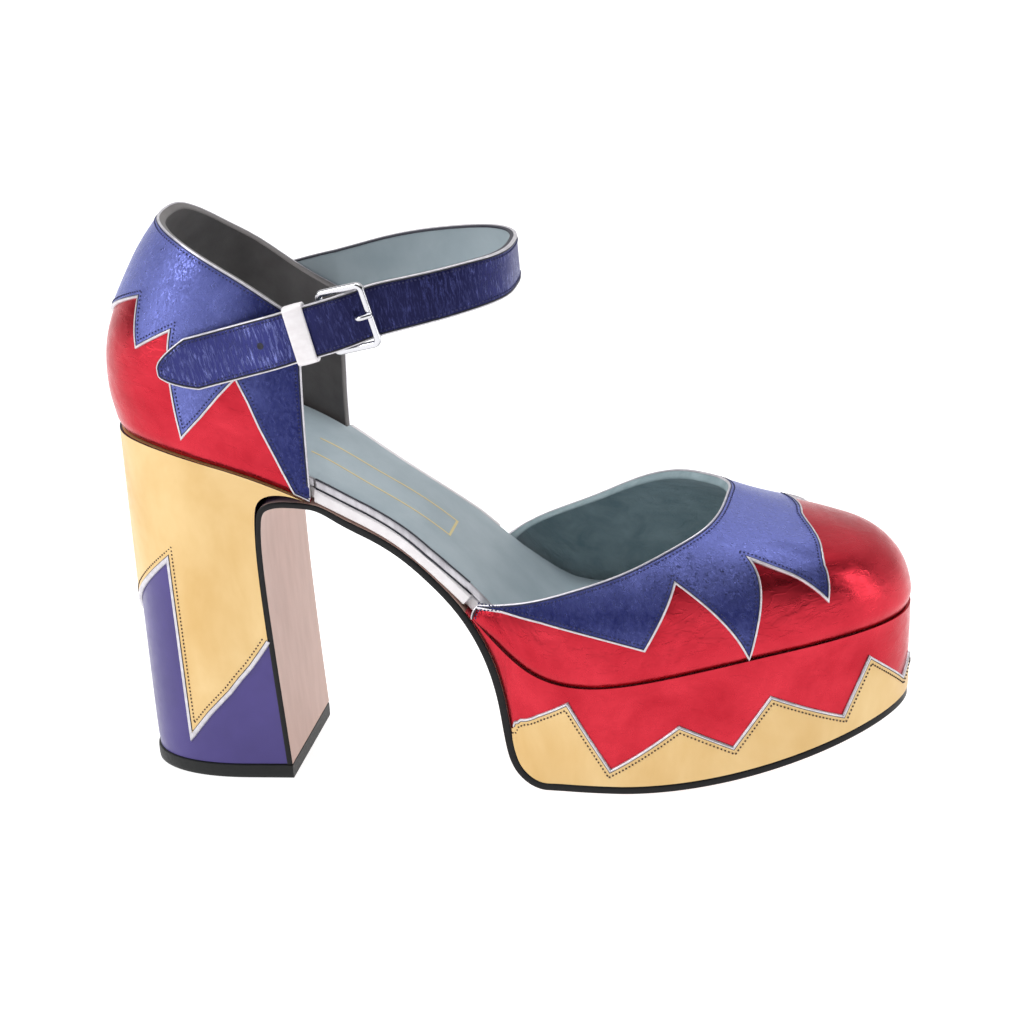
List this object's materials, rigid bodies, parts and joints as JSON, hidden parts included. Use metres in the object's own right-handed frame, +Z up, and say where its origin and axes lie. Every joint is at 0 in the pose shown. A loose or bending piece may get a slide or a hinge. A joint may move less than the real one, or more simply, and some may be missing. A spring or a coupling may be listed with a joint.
{
  "type": "platform pump",
  "caption": "Closed-toe platform pump with a high block heel, an open waist and a buckled ankle strap, pieced in zigzag leather panels; right foot.",
  "frame": {"origin": "middle of the top lift's underside, on the floor", "axes": "+X towards the toe, -Y towards the outer side of the foot, where the buckle is, +Z up"},
  "size_m": [0.2275, 0.0795, 0.1643],
  "materials": {
    "red_leather": "metallic foil leather",
    "blue_leather": "crackled metallic foil leather",
    "gold_leather": "satin leather",
    "violet_leather": "satin leather",
    "silver_leather": "metallic foil leather",
    "insole_leather": "matte leather",
    "sole_leather": "smooth sole leather",
    "rubber": "matte",
    "steel": "polished"
  },
  "bodies": {
    "root": {"outsole": "sole_leather", "platform": "red_leather", "platform_band": "gold_leather", "heel_block": "violet_leather", "heel_panel": "gold_leather", "top_lift": "rubber", "insole_board": "silver_leather", "sock_insole": "insole_leather", "vamp": "red_leather", "vamp_collar": "blue_leather", "quarter": "red_leather", "quarter_overlay": "blue_leather", "ankle_strap": "blue_leather", "buckle_tab": "blue_leather", "strap_keeper": "silver_leather", "buckle_frame": "steel", "buckle_prong": "steel"}
  },
  "joints": []
}
